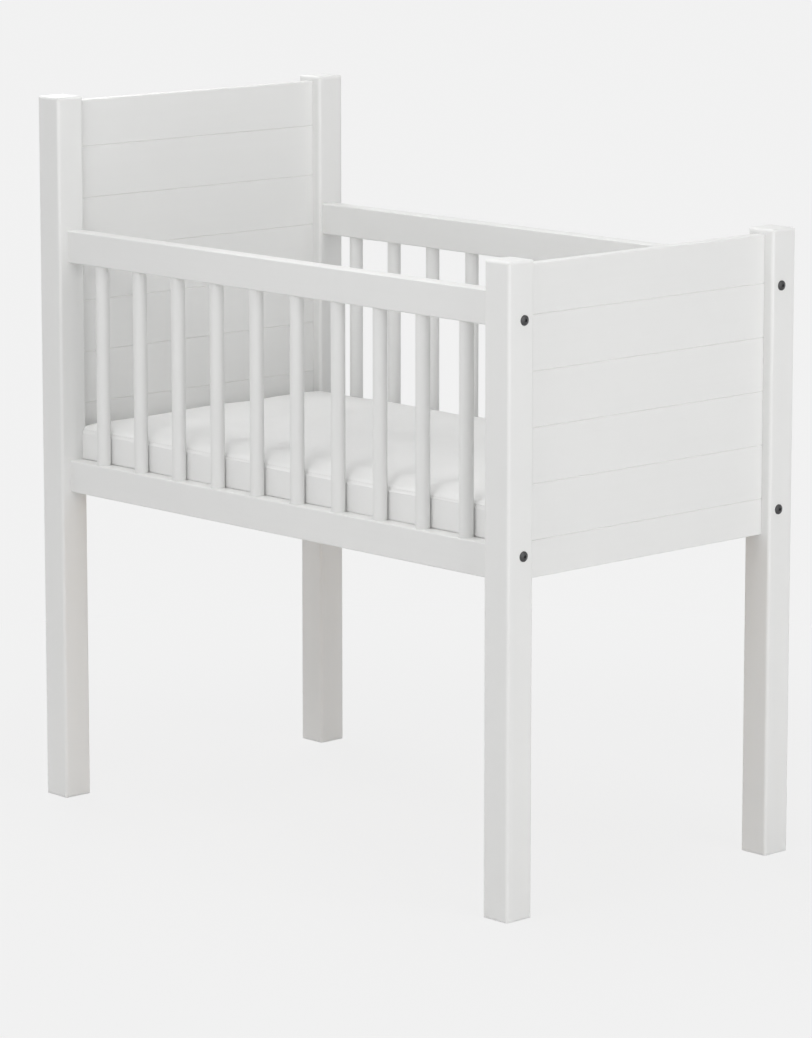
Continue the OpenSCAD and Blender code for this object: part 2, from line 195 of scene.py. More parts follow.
# %% [markdown]
# Sprayed paint never dries as flat as glass: it keeps a fine orange peel, and its gloss varies in clouds.
# The peel is a noise of about a millimetre, and the clouds are a noise of about a hand's width.
# One group serves the white lacquer, the black coating of the bolts and the cloth, each with its own size.

# %% Node group for a paint film
def film_group():
    """Fine peel for the relief, and wide clouds for tone and gloss."""
    inputs = {"Position": None, "Peel per metre": 700.0, "Clouds per metre": 9.0}
    tree, given, end = open_group("paint film", inputs, ["Peel", "Clouds"])
    place = given["Position"]
    peel = noise(tree, place, given["Peel per metre"], detail=1.5, roughness=0.45)
    clouds = noise(tree, place, given["Clouds per metre"], detail=3.0, roughness=0.6)
    return close_group(tree, end, Peel=peel, Clouds=clouds)


paint_film = film_group()

# %% [markdown]
# The edge mask serves two marks: a painted highlight on the lacquer's edges and partly on the bolts', and
# wear, as hands and cloths polish edges first and paint draws thin over an edge.
# The Bevel node looks a given distance round each point, so its normal leaves the face's near an edge.
# That difference is a mask of the edges. It is faint here, because this cradle is nearly new.
# A little dust on faces that look up comes from the height of the normal, broken up by the film's clouds.

# %% Node group for edge highlight, edge wear and dust
def edge_highlight_and_wear_group():
    """Masks for edges, for a painted highlight and for wear, and for dusty faces, all uneven."""
    inputs = {"Clouds": 0.5, "Edge width": 0.002}
    tree, given, end = open_group("edge wear and dust", inputs, ["Edge", "Dust"])
    # The edge mask gives a painted highlight in some materials and real wear in others.
    around = add(tree, "Bevel", {"Radius": given["Edge width"]}, samples=4)
    face = add(tree, "NewGeometry").outputs["Normal"]
    same_way = add(tree, "VectorMath", {0: around.outputs[0], 1: face}, operation="DOT_PRODUCT")
    bend = remap(tree, same_way.outputs["Value"], start=0.995, end=0.86, curve="SMOOTHSTEP")
    uneven_share = remap(tree, given["Clouds"], start=0.35, end=0.65, low=0.35)
    edge = calc(tree, "MULTIPLY", bend, uneven_share)
    parts = add(tree, "SeparateXYZ", {0: face})
    upward = remap(tree, parts.outputs[2], start=0.6, end=0.95, curve="SMOOTHSTEP")
    patches = remap(tree, given["Clouds"], start=0.40, end=0.70, low=0.2)
    dust = calc(tree, "MULTIPLY", upward, patches)
    return close_group(tree, end, Edge=edge, Dust=dust)


edge_highlight_and_wear = edge_highlight_and_wear_group()

# %% [markdown]
# A painted or wooden surface is built in layers, as the real one is: a base tone, then streaks, rubbed
# edges and dust on top. So the materials share a few more helpers, which lay a tint over what is below it,
# stack bumps of different depth, and turn the position so that its X runs along the grain.

# %% Helpers for materials
GRAIN_TURN = {
    "X": (0.0, 0.0, 0.0),
    "Y": (0.0, 0.0, math.radians(90)),
    "Z": (0.0, math.radians(90), 0.0),
}


def start_material(name):
    """A new material with an empty tree. Returns it, its tree, its shader and its output node."""
    made = bpy.data.materials.new(name)
    made.use_nodes = True
    tree = made.node_tree
    tree.nodes.clear()
    shader = add(tree, "BsdfPrincipled")
    output = add(tree, "OutputMaterial", {"Surface": shader.outputs[0]})
    return made, tree, shader, output


def along_grain(tree, direction):
    """Position in the solid, as it is and turned so that its X runs along the grain."""
    place = add(tree, "TexCoord").outputs["Object"]
    return place, add(tree, "Mapping", {"Vector": place, "Rotation": GRAIN_TURN[direction]}).outputs[0]


def mix_colour(tree, share, first, second):
    """Mixes two colours by a share from 0 to 1."""
    return add(tree, "Mix", {0: share, 6: first, 7: second}, data_type="RGBA").outputs[2]


def tint(tree, below, mask, strength, colour):
    """Lays a colour over what is below it, where the mask is, as strongly as given."""
    return mix_colour(tree, calc(tree, "MULTIPLY", mask, strength), below, colour)


def relief(tree, shader, layers):
    """Stacks bumps on the shader's normal. Each layer is its height socket and its depth in metres."""
    below = None
    for height, depth in layers:
        bump = add(tree, "Bump", {"Height": height, "Strength": 1.0, "Distance": depth})
        if below is not None:
            tree.links.new(below, bump.inputs["Normal"])
        below = bump.outputs[0]
    tree.links.new(below, shader.inputs["Normal"])


print("grain may run along", ", ".join(GRAIN_TURN))

# %% [markdown]
# The cradle's wood is finished in a white satin lacquer. White is never pure: this one reflects about
# four fifths of the light, so that it can still be brighter where light hits it and darker in its joints.
# Grain runs along each piece, so there is one material for each of the three directions.
# Each takes the same streaks, turned, with a peel over them, a slight change of tone in the clouds and a
# painted highlight on its edges.

# %% White satin lacquer
LACQUER_PALE = (0.815, 0.815, 0.805, 1)
LACQUER_SHADE = (0.785, 0.787, 0.780, 1)
LACQUER_STREAK = (0.72, 0.72, 0.70, 1)
LACQUER_EDGE_HIGHLIGHT = (0.88, 0.88, 0.87, 1)
LACQUER_DUST = (0.60, 0.58, 0.55, 1)


def white_lacquer(direction):
    """Lacquer on wood whose grain runs along X, Y or Z."""
    made, tree, shader, _ = start_material("white lacquer, grain along " + direction)
    place, turned = along_grain(tree, direction)
    grain = use_group(tree, wood_grain, {"Position": turned, "Streaks per metre": 110.0, "Stretch": 30.0})
    sizes = {"Peel per metre": 650.0, "Clouds per metre": 7.0}
    film = use_group(tree, paint_film, {"Position": place, **sizes})
    clouds = film.outputs["Clouds"]
    highlight_and_wear = use_group(tree, edge_highlight_and_wear, {"Clouds": clouds, "Edge width": 0.0016})
    toned = mix_colour(tree, clouds, LACQUER_PALE, LACQUER_SHADE)
    streaked = tint(tree, toned, grain.outputs["Late wood"], 0.04, LACQUER_STREAK)
    # Painted highlight: the edges are tinted lighter, as light catching their rounding would make them.
    edged = tint(tree, streaked, highlight_and_wear.outputs["Edge"], 0.22, LACQUER_EDGE_HIGHLIGHT)
    dusted = tint(tree, edged, highlight_and_wear.outputs["Dust"], 0.06, LACQUER_DUST)
    tree.links.new(dusted, shader.inputs["Base Color"])
    rough = vary(tree, 0.34, clouds, 0.14)
    rough = vary(tree, rough, highlight_and_wear.outputs["Dust"], 0.10)
    rough = vary(tree, rough, highlight_and_wear.outputs["Edge"], -0.06)
    tree.links.new(rough, shader.inputs["Roughness"])
    shader.inputs["Coat Weight"].default_value = 0.12
    shader.inputs["Coat Roughness"].default_value = 0.28
    relief(tree, shader, [(grain.outputs["Height"], 0.00003), (film.outputs["Peel"], 0.00003)])
    return made


lacquer = {direction: white_lacquer(direction) for direction in GRAIN_TURN}
print("materials:", ", ".join(made.name for made in lacquer.values()))

# %% [markdown]
# Under the mattress the wood is bare pine: the loose base, the ledgers that carry it and the dowels.
# Pine has pale early wood and darker, harder late wood in lines, with fine resin pores between.
# Bare wood scatters light in all directions, so it is rough and has no coat.

# %% Bare pine
PINE_PALE = (0.74, 0.54, 0.32, 1)
PINE_SHADE = (0.64, 0.44, 0.24, 1)
PINE_LATE = (0.47, 0.27, 0.11, 1)
PINE_PORE = (0.33, 0.18, 0.08, 1)
PINE_EDGE = (0.78, 0.60, 0.38, 1)
PINE_DUST = (0.60, 0.55, 0.48, 1)


def bare_pine(direction):
    """Planed pine whose grain runs along X, Y or Z."""
    made, tree, shader, _ = start_material("bare pine, grain along " + direction)
    place, turned = along_grain(tree, direction)
    grain = use_group(tree, wood_grain, {"Position": turned, "Streaks per metre": 75.0, "Stretch": 22.0})
    sizes = {"Peel per metre": 900.0, "Clouds per metre": 14.0}
    film = use_group(tree, paint_film, {"Position": place, **sizes})
    clouds = film.outputs["Clouds"]
    highlight_and_wear = use_group(tree, edge_highlight_and_wear, {"Clouds": clouds, "Edge width": 0.0012})
    toned = mix_colour(tree, clouds, PINE_PALE, PINE_SHADE)
    lined = tint(tree, toned, grain.outputs["Late wood"], 0.55, PINE_LATE)
    pored = tint(tree, lined, grain.outputs["Pores"], 0.35, PINE_PORE)
    edged = tint(tree, pored, highlight_and_wear.outputs["Edge"], 0.25, PINE_EDGE)
    dusted = tint(tree, edged, highlight_and_wear.outputs["Dust"], 0.10, PINE_DUST)
    tree.links.new(dusted, shader.inputs["Base Color"])
    rough = vary(tree, 0.72, grain.outputs["Late wood"], -0.14)
    tree.links.new(rough, shader.inputs["Roughness"])
    relief(tree, shader, [(grain.outputs["Height"], 0.00018), (film.outputs["Peel"], 0.00005)])
    return made


pine = {direction: bare_pine(direction) for direction in GRAIN_TURN}
print("materials:", ", ".join(made.name for made in pine.values()))

# %% [markdown]
# The bolts that hold the sides to the ends have black coated heads. The coating is thin and satin, and its
# edges are lighter, partly where the hexagon key and the thumb have rubbed them and partly as a painted
# highlight. It is paint, so it takes the same film as the lacquer, only finer, because a bolt's head is
# small.

# %% Black coated bolts
BLACK_DEEP = (0.028, 0.028, 0.030, 1)
BLACK_PALE = (0.040, 0.040, 0.042, 1)
BLACK_EDGE_WEAR_AND_HIGHLIGHT = (0.13, 0.13, 0.135, 1)
BLACK_DUST = (0.20, 0.19, 0.18, 1)


def black_coating():
    """The coating on the bolts' heads."""
    made, tree, shader, _ = start_material("black bolt coating")
    place = add(tree, "TexCoord").outputs["Object"]
    sizes = {"Peel per metre": 1600.0, "Clouds per metre": 120.0}
    film = use_group(tree, paint_film, {"Position": place, **sizes})
    clouds = film.outputs["Clouds"]
    highlight_and_wear = use_group(tree, edge_highlight_and_wear, {"Clouds": clouds, "Edge width": 0.0006})
    toned = mix_colour(tree, clouds, BLACK_DEEP, BLACK_PALE)
    # The lighter edges are partly rubbed coating and partly a painted highlight.
    rubbed_and_highlit = tint(tree, toned, highlight_and_wear.outputs["Edge"], 0.5, BLACK_EDGE_WEAR_AND_HIGHLIGHT)
    dusted = tint(tree, rubbed_and_highlit, highlight_and_wear.outputs["Dust"], 0.2, BLACK_DUST)
    tree.links.new(dusted, shader.inputs["Base Color"])
    tree.links.new(vary(tree, 0.34, clouds, 0.16), shader.inputs["Roughness"])
    relief(tree, shader, [(film.outputs["Peel"], 0.00003)])
    return made


bolt_black = black_coating()
print("material:", bolt_black.name)

# %% [markdown]
# Screws and threaded inserts are zinc plated steel, a metal with fine turning marks and cloudy plating.
# The marks are the wood's streaks again, only ten times as fine: a group doesn't mind what it stands for.

# %% Plated steel
ZINC_PALE = (0.66, 0.67, 0.69, 1)
ZINC_SHADE = (0.56, 0.57, 0.58, 1)
ZINC_EDGE = (0.78, 0.78, 0.78, 1)


def plated_steel():
    """The plating on screws and inserts."""
    made, tree, shader, _ = start_material("zinc plated steel")
    place, turned = along_grain(tree, "Y")
    marks = use_group(tree, wood_grain, {"Position": turned, "Streaks per metre": 900.0, "Stretch": 14.0})
    sizes = {"Peel per metre": 2500.0, "Clouds per metre": 160.0}
    film = use_group(tree, paint_film, {"Position": place, **sizes})
    clouds = film.outputs["Clouds"]
    highlight_and_wear = use_group(tree, edge_highlight_and_wear, {"Clouds": clouds, "Edge width": 0.0004})
    toned = mix_colour(tree, clouds, ZINC_PALE, ZINC_SHADE)
    edged = tint(tree, toned, highlight_and_wear.outputs["Edge"], 0.4, ZINC_EDGE)
    tree.links.new(edged, shader.inputs["Base Color"])
    shader.inputs["Metallic"].default_value = 1.0
    tree.links.new(vary(tree, 0.22, clouds, 0.20), shader.inputs["Roughness"])
    relief(tree, shader, [(marks.outputs["Height"], 0.00002)])
    return made


zinc_steel = plated_steel()
print("material:", zinc_steel.name)

# %% [markdown]
# Each piece of the construction model now gets its finish. Only its material slots are filled.
# The name of a piece says what it is, and that says which way its grain runs:
# upright in posts and side slats, along the rails, and across the cradle in panels and base slats.

# %% Give each piece its finish
FINISHES = [
    ("post_", lacquer["Z"]),
    ("head_panel", lacquer["Y"]),
    ("foot_panel", lacquer["Y"]),
    ("bottom_rail_", lacquer["X"]),
    ("top_rail_", lacquer["X"]),
    ("slat_", lacquer["Z"]),
    ("connector_bolts", bolt_black),
    ("threaded_inserts", zinc_steel),
    ("locating_dowels", pine["X"]),
    ("ledger_screws", zinc_steel),
    ("ledger_", pine["X"]),
    ("base_slat_", pine["Y"]),
    ("base_bearer_", pine["X"]),
    ("base_screws", zinc_steel),
]


def finish_of(name):
    """The first finish whose start fits a piece's name, or None."""
    return next((finish for start, finish in FINISHES if name.startswith(start)), None)


dressed = 0
for name, piece in nodes.items():
    finish = finish_of(name)
    if finish is not None:
        for slot in piece.material_slots:
            slot.material = finish
        dressed += 1
print("gave a finish to", dressed, "of", len(nodes), "pieces")

# %% [markdown]
# The mattress is a foam pad in a sewn cover. Its top and sides swell a little, and its corners are plump.
# It could be carved by hand, but cloth does this by itself. So the pad starts as a plain rounded slab,
# a little wider than the space between the slats, because it will be pressed back.
# Each ring of the slab is its outline from above, moved in where the edge rounds over: far at the top
# and little at the bottom. A power below 1 makes the edge fuller than half an ellipse.

# %% Outline and rings of the slab
import bmesh

pad_low, pad_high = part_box("mattress")
PAD_LONGER = 0.001  # beyond the plain solid at each end
PAD_WIDER = 0.0075  # and at each side
PAD_CORNER = 0.006  # radius of a corner seen from above
PAD_CORNER_STEPS = 14
PAD_UPPER_EDGE = 0.019  # how far the top ring is moved in
PAD_LOWER_EDGE = 0.005  # and the bottom ring
PAD_EDGE_AT_ENDS = 0.7  # share of both at the pad's two ends
PAD_EDGE_POWER = 0.7  # 1 would be half an ellipse, less is fuller
PAD_RINGS = 10
PAD_BOTTOM = pad_low.z + 0.0005
PAD_TOP = pad_high.z - 0.0085  # lower than the solid, because the pad will swell


def pad_outline(inset):
    """Points of a rectangle with round corners, moved in by inset."""
    half_x = pad_high.x + PAD_LONGER - inset * PAD_EDGE_AT_ENDS
    half_y = pad_high.y + PAD_WIDER - inset
    points = []
    for quarter, (x_side, y_side) in enumerate([(1, 1), (-1, 1), (-1, -1), (1, -1)]):
        for step in range(PAD_CORNER_STEPS + 1):
            turn = math.radians(90 * (quarter + step / PAD_CORNER_STEPS))
            points.append((x_side * (half_x - PAD_CORNER) + PAD_CORNER * math.cos(turn),
                           y_side * (half_y - PAD_CORNER) + PAD_CORNER * math.sin(turn)))
    return points


def pad_section():
    """Inset and height of each ring, from the bottom round the edge to the top."""
    half = (PAD_TOP - PAD_BOTTOM) / 2
    rings = []
    for step in range(PAD_RINGS + 1):
        turn = math.radians(180 * step / PAD_RINGS - 90)
        reach = PAD_UPPER_EDGE if turn > 0 else PAD_LOWER_EDGE
        round_in = reach * (1 - abs(math.cos(turn)) ** PAD_EDGE_POWER)
        rise = math.copysign(abs(math.sin(turn)) ** PAD_EDGE_POWER, turn)
        rings.append((round_in, PAD_BOTTOM + half + half * rise))
    return rings


print("slab of", len(pad_section()), "rings,", len(pad_outline(0.0)), "points in each")

# %% [markdown]
# The rings are joined to a closed mesh: four-sided faces between each ring and the next, and one large
# face at the bottom and at the top. Such a face would be bad for cloth, but the next step lays a grid.
# The piece is named here, and it keeps its name to the end.

# %% The slab inside the mattress cover
def slab_mesh():
    """The closed slab as a mesh."""
    grid = bmesh.new()
    rings = []
    for inset, height in pad_section():
        rings.append([grid.verts.new((x, y, height)) for x, y in pad_outline(inset)])
    for low, high in zip(rings, rings[1:]):
        for i in range(len(low)):
            grid.faces.new((low[i - 1], low[i], high[i], high[i - 1]))
    grid.faces.new(reversed(rings[0]))
    grid.faces.new(rings[-1])
    mesh = bpy.data.meshes.new("mattress_cover")
    grid.to_mesh(mesh)
    grid.free()
    return mesh


cover = bpy.data.objects.new("mattress_cover", slab_mesh())
scene.collection.objects.link(cover)
print("slab", [round(1000 * side) for side in cover.dimensions], "mm")

# %% [markdown]
# Cloth needs small even faces, so a voxel remesh lays a grid of a few millimetres over the slab.
# Then air pressure from inside pushes the cover out for twenty frames with no gravity, as foam does.
# The cloth is stiff in its plane and bends easily, as cotton does, and the pressure is low.
# No point may move further than a few millimetres, because foam is firm, and the pad has neighbours.
# The result is written into the mesh, so no simulation is left on the piece.

# %% Blow up the mattress cover
PAD_VOXEL = 0.0064
PAD_FRAMES = 20
PAD_PRESSURE = 0.35
PAD_CAP = 0.006  # the furthest that a point may move
TINY = 1e-9  # keeps a point that stood still from a division by zero


def bake_modifiers(piece):
    """Writes what a piece's modifiers make into its mesh."""
    seen = piece.evaluated_get(bpy.context.evaluated_depsgraph_get())
    mesh = bpy.data.meshes.new_from_object(seen)
    piece.modifiers.clear()
    piece.data = mesh


remesh = cover.modifiers.new("even grid", "REMESH")
remesh.mode = "VOXEL"
remesh.voxel_size = PAD_VOXEL
bake_modifiers(cover)
rest_points = [v.co.copy() for v in cover.data.vertices]
cloth = cover.modifiers.new("air pressure", "CLOTH")
cloth.settings.quality = 6
cloth.settings.mass = 0.25
cloth.settings.tension_stiffness = 22
cloth.settings.compression_stiffness = 22
cloth.settings.bending_stiffness = 0.8
cloth.settings.use_pressure = True
cloth.settings.uniform_pressure_force = PAD_PRESSURE
cloth.settings.effector_weights.gravity = 0.0
cloth.point_cache.frame_start = 1
cloth.point_cache.frame_end = PAD_FRAMES
for number in range(1, PAD_FRAMES + 1):
    scene.frame_set(number)
bake_modifiers(cover)
moves = [v.co - rest for v, rest in zip(cover.data.vertices, rest_points)]
for v, rest, move in zip(cover.data.vertices, rest_points, moves):
    v.co = rest + move * min(1.0, PAD_CAP / max(move.length, TINY))
print("cover of", len(cover.data.vertices), "points, largest move",
      round(1000 * max(move.length for move in moves), 1), "mm before the cap")

# %% [markdown]
# The pad lies on flat boards, so its underside is pressed flat. Its ends keep clear of the panels, and
# its sides go no further than just past the slats' inner faces.
# A used cover is never quite smooth: wide, low waves, a hand apart and half a millimetre high, run over
# its top. They are sine waves in odd directions, which together look irregular and come out the same
# every time.

# %% Press it flat below and soften it above
ROOM_X = 0.4116
ROOM_Y = 0.2162
BOARD_GAP = 0.0002  # between the pad and the boards
WAVY_DEPTH = 0.01  # the waves reach so far down from the top
# each wave: radians per metre along x and y, where it starts, and its height in metres
WAVES = [((31.0, 9.0), 0.3, 0.00050), ((-17.0, 38.0), 1.9, 0.00045), ((58.0, -33.0), 4.1, 0.00025)]


def wave_height(x, y):
    """Sum of the low waves at a point of the top, in metres."""
    return sum(depth * math.sin(run[0] * x + run[1] * y + phase) for run, phase, depth in WAVES)


for v in cover.data.vertices:
    v.co.x = max(-ROOM_X, min(ROOM_X, v.co.x))
    v.co.y = max(-ROOM_Y, min(ROOM_Y, v.co.y))
    if v.co.z > PAD_TOP - WAVY_DEPTH:
        v.co.z += wave_height(v.co.x, v.co.y)
    v.co.z = max(pad_low.z + BOARD_GAP, v.co.z)
cover.data.update()
print("top of the mattress at", round(max(v.co.z for v in cover.data.vertices), 4), "m")

# %% [markdown]
# The cover is sewn from a top and a side strip, and the seam runs round the pad just below its upper edge.
# A seam pulls the cloth in to a narrow valley. The grid is too wide to show it, so the mesh is first cut
# along five level planes. Then the cut lines move inwards, the middle one the most.

# %% Sew the seam round the cover
SEAM_Z = PAD_TOP - 0.0095
# each cut's height above the seam, and how far it is pulled in
SEAM_PULLS = {-0.0045: 0.0, -0.0018: 0.0003, 0.0: 0.0008, 0.0018: 0.0003, 0.0045: 0.0}
CUT_SNAP = 0.0001  # a point so close to a cut is taken as on it
CUT_REACH = 0.0002  # a point so close to a level belongs to its line
SIDEWAYS = 0.3  # least level part of a normal on the pad's side


def cut_level(grid, height):
    """Cuts a mesh along a level plane, keeping both halves."""
    everything = grid.verts[:] + grid.edges[:] + grid.faces[:]
    plane = {"plane_co": (0, 0, height), "plane_no": (0, 0, 1)}
    bmesh.ops.bisect_plane(grid, geom=everything, dist=CUT_SNAP, **plane)


grid = bmesh.new()
grid.from_mesh(cover.data)
for offset in SEAM_PULLS:
    cut_level(grid, SEAM_Z + offset)
grid.normal_update()
seam_points = []
for v in grid.verts:
    for offset, pull in SEAM_PULLS.items():
        level = abs(v.co.z - SEAM_Z - offset) < CUT_REACH
        outward = Vector((v.normal.x, v.normal.y, 0.0))
        if level and outward.length > SIDEWAYS:
            outward.normalize()
            if offset == 0.0:
                seam_points.append((v.co.copy(), outward))
            v.co -= outward * pull
grid.to_mesh(cover.data)
grid.free()
for face in cover.data.polygons:
    face.use_smooth = True
print("seam through", len(seam_points), "points at", round(SEAM_Z, 4), "m")

# %% [markdown]
# The pad fills the cradle from side to side, so it leans on every slat and its corners press on the posts.
# Each slat presses a low valley into the side, which runs on over the round edge and fades out on the top.
# Where the neighbours are is measured on the construction model, so the valleys can't miss the slats.
# The back side is the front side's mirror image, so the front slats and one post are enough.

# %% Where the slats press, and how deep
slat_boxes = [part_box(name) for name in nodes if name.startswith("slat_front_")]
slat_places = [(low.x + high.x) / 2 for low, high in slat_boxes]
SLAT_RADIUS = (slat_boxes[0][1].x - slat_boxes[0][0].x) / 2
SLAT_FACE = abs(slat_boxes[0][1].y)
rail_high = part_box("bottom_rail_front")[1]
RAIL_FACE = abs(rail_high.y)
RAIL_TOP = rail_high.z
VALLEY_DEPTH = 0.0008
VALLEY_WIDTH = 0.007
VALLEY_FLANK = 1.3  # higher gives a flatter bottom and steeper flanks
VALLEY_END = 0.180  # from the pad's middle line to where a valley ends
VALLEY_FADE = 1.5  # higher keeps the valley nearer to the side
VALLEY_RISE = 0.004  # it is at full depth so far above the rail


def ramp(value, start, end):
    """0 at the start, 1 at the end, even in between."""
    return max(0.0, min(1.0, (value - start) / (end - start)))


def pressed_in(x, y, z):
    """How deep the slats press at a point, in metres."""
    inwards = ramp(abs(y), VALLEY_END, SLAT_FACE) ** VALLEY_FADE
    reach = inwards * ramp(z, RAIL_TOP, RAIL_TOP + VALLEY_RISE)
    if reach == 0.0:
        return 0.0
    away = min(abs(x - place) for place in slat_places)
    return reach * VALLEY_DEPTH * math.exp(-(away / VALLEY_WIDTH) ** VALLEY_FLANK)


print("valleys at", [round(1000 * place) for place in slat_places], "mm along each side")

# %% [markdown]
# No point may reach into a slat, a rail or a post. Beside them it is set back on their surface, which
# leaves the thin dark lines of real contact. Between the slats the side stands out over the rail a
# little, as soft foam does. A slat is round, so how far a point may go beside it follows from its circle.

# %% How far out the cover may go
OVERHANG = 0.0032  # how far the side stands out over the rail
CLEARANCE = 0.0003  # kept from every neighbour
FOLD_START = RAIL_TOP - 0.0002  # below this height the side keeps to the rail
FOLD_END = RAIL_TOP + 0.0004  # and above this one it stands out over it
post_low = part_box("post_foot_back")[0]


def side_room(x, z):
    """How far out the cover may reach beside the rail and the slats, in metres."""
    away = min(SLAT_RADIUS, min(abs(x - place) for place in slat_places))
    at_slat = SLAT_FACE + SLAT_RADIUS - math.sqrt(SLAT_RADIUS ** 2 - away ** 2)
    at_rail = RAIL_FACE + OVERHANG * ramp(z, FOLD_START, FOLD_END)
    return min(at_slat, at_rail) - CLEARANCE


def beside_post(x, y):
    """Moves a place that lies in a post to the nearer of its two inner faces."""
    deep_x = abs(x) - post_low.x + CLEARANCE
    deep_y = abs(y) - post_low.y + CLEARANCE
    if min(deep_x, deep_y) <= 0.0:
        return x, y
    if deep_x < deep_y:
        return x - math.copysign(deep_x, x), y
    return x, y - math.copysign(deep_y, y)


print("room beside the rail", round(1000 * side_room(0.0, RAIL_TOP - OVERHANG), 1),
      "mm from the middle, above it", round(1000 * side_room(0.0, RAIL_TOP + OVERHANG), 1), "mm")

# %% [markdown]
# The faces are first made finer, because a valley is only a finger wide. Two level cuts at the rail's top
# let the side step out over it in one crisp fold. Then each point near a side moves in along its own
# normal, the more the closer it is to a slat. Last, the points that reach too far out are set back.

# %% Lean it on the slats, the rails and the posts
FOLD_CUTS = (RAIL_TOP - 0.0004, RAIL_TOP + 0.0005)

smooth = cover.modifiers.new("rounder faces", "SUBSURF")
smooth.levels = 1
bake_modifiers(cover)
grid = bmesh.new()
grid.from_mesh(cover.data)
for height in FOLD_CUTS:
    cut_level(grid, height)
grid.to_mesh(cover.data)
grid.free()
normals = [v.normal.copy() for v in cover.data.vertices]
for v, normal in zip(cover.data.vertices, normals):
    v.co -= normal * pressed_in(*v.co)
    if abs(v.co.y) > RAIL_FACE - CLEARANCE:
        v.co.y = math.copysign(min(abs(v.co.y), side_room(v.co.x, v.co.z)), v.co.y)
    v.co.x, v.co.y = beside_post(v.co.x, v.co.y)
cover.data.update()
print(len(slat_places), "valleys in each side,", len(cover.data.polygons), "faces")

# %% [markdown]
# Thread shows as a row of short raised stitches beside the seam. They are real geometry, because a bump
# would blur at this size. Each stitch is a small six-sided spindle that lies along the seam's direction.
# First the points of the cut seam are sorted round the pad, and places are marked at even steps along
# that path. They are sorted by angle, which works because no part of the outline hides another from
# the middle.

# %% Walk round the seam
STITCH_STEP = 0.0042
PAD_SLENDER = 2.0  # the pad is twice as long as it is wide


def ordered_path(points):
    """Seam points in order round the pad, by their angle seen from above, as if it were square."""
    return sorted(points, key=lambda pair: math.atan2(pair[0].y * PAD_SLENDER, pair[0].x))


def walk(path, step):
    """Places at even steps along a closed path: position, direction and outward normal.

    Points that lie on each other make a run of no length, which is passed over.
    """
    places = []
    left = 0.0
    for (a, out_a), (b, _) in zip(path, path[1:] + path[:1]):
        run = b - a
        length = run.length
        while left < length and length > 1e-6:
            places.append((a + run * (left / length), run / length, out_a))
            left += step
        left -= length
    return places


stitch_places = walk(ordered_path(seam_points), STITCH_STEP)
print(len(stitch_places), "places for a stitch, each", 1000 * STITCH_STEP, "mm from the last")

# %% [markdown]
# A spindle is three rings of six points, thick in the middle and thin at both ends, like a thread that
# comes up out of the cloth and goes down again. Hundreds of them are drawn, so each has few faces.

# %% Shape of a stitch
STITCH_LENGTH = 0.0032
STITCH_RADIUS = 0.00028
STITCH_THIN_END = 0.35  # an end's share of the radius
STITCH_SIDES = 6


def add_spindle(grid, middle, along, outward):
    """One stitch: three rings of points, thin at both ends."""
    side = along.cross(outward).normalized()
    rings = []
    for place, size in ((-0.5, STITCH_THIN_END), (0.0, 1.0), (0.5, STITCH_THIN_END)):
        centre = middle + along * (place * STITCH_LENGTH)
        ring = []
        for corner in range(STITCH_SIDES):
            turn = math.radians(360 / STITCH_SIDES * corner)
            offset = outward * math.cos(turn) + side * math.sin(turn)
            ring.append(grid.verts.new(centre + offset * (STITCH_RADIUS * size)))
        rings.append(ring)
    for low, high in zip(rings, rings[1:]):
        for i in range(STITCH_SIDES):
            grid.faces.new((low[i - 1], low[i], high[i], high[i - 1]))
    grid.faces.new(reversed(rings[0]))
    grid.faces.new(rings[-1])


print("a stitch is", 1000 * STITCH_LENGTH, "mm long and", 2000 * STITCH_RADIUS, "mm thick")

# %% [markdown]
# The seam was pulled in after its points were noted, and the slats have pressed on the cover since.
# So each stitch is set on the cover as it is now: a ray goes from outside straight in, a little above
# the seam, and the stitch lies where it hits. All stitches are one piece, as one thread sews them.

# %% Stitches along the seam
from mathutils.bvhtree import BVHTree

STITCH_ABOVE_SEAM = 0.0030
STITCH_PROUD = 0.0001  # its middle line lies so far outside the cloth
RAY_START = 0.01  # outwards from the seam
RAY_LENGTH = 0.03

bpy.context.view_layer.update()
skin = BVHTree.FromObject(cover, bpy.context.evaluated_depsgraph_get())
grid = bmesh.new()
stitch_count = 0
for middle, along, outward in stitch_places:
    start = middle + Vector((0, 0, STITCH_ABOVE_SEAM)) + outward * RAY_START
    hit, normal, _, _ = skin.ray_cast(start, -outward, RAY_LENGTH)
    if hit is not None:
        add_spindle(grid, hit + normal * STITCH_PROUD, along, outward)
        stitch_count += 1
stitch_mesh = bpy.data.meshes.new("mattress_seam_stitches")
grid.normal_update()
grid.to_mesh(stitch_mesh)
grid.free()
stitches = bpy.data.objects.new("mattress_seam_stitches", stitch_mesh)
scene.collection.objects.link(stitches)
for face in stitch_mesh.polygons:
    face.use_smooth = True
print(stitch_count, "stitches")

# %% [markdown]
# The cover is a white knitted cloth. Knitting is rows of small V shapes, here about a millimetre wide.
# They are too small to model, so a group draws their height from waves across and along the cloth.
# The same group serves the thread, finer. On the sides the rows run along the edge, which needs the
# position to be read on another pair of axes: the normal says which.

# %% Node group for knitted cloth
FACES_AN_END = 0.72  # a normal with more X than this is on an end
FACES_SIDEWAYS = 0.60  # a normal with less Z than this is on a side or an end
V_SLOPE = 1.2  # how steep the V of a loop is


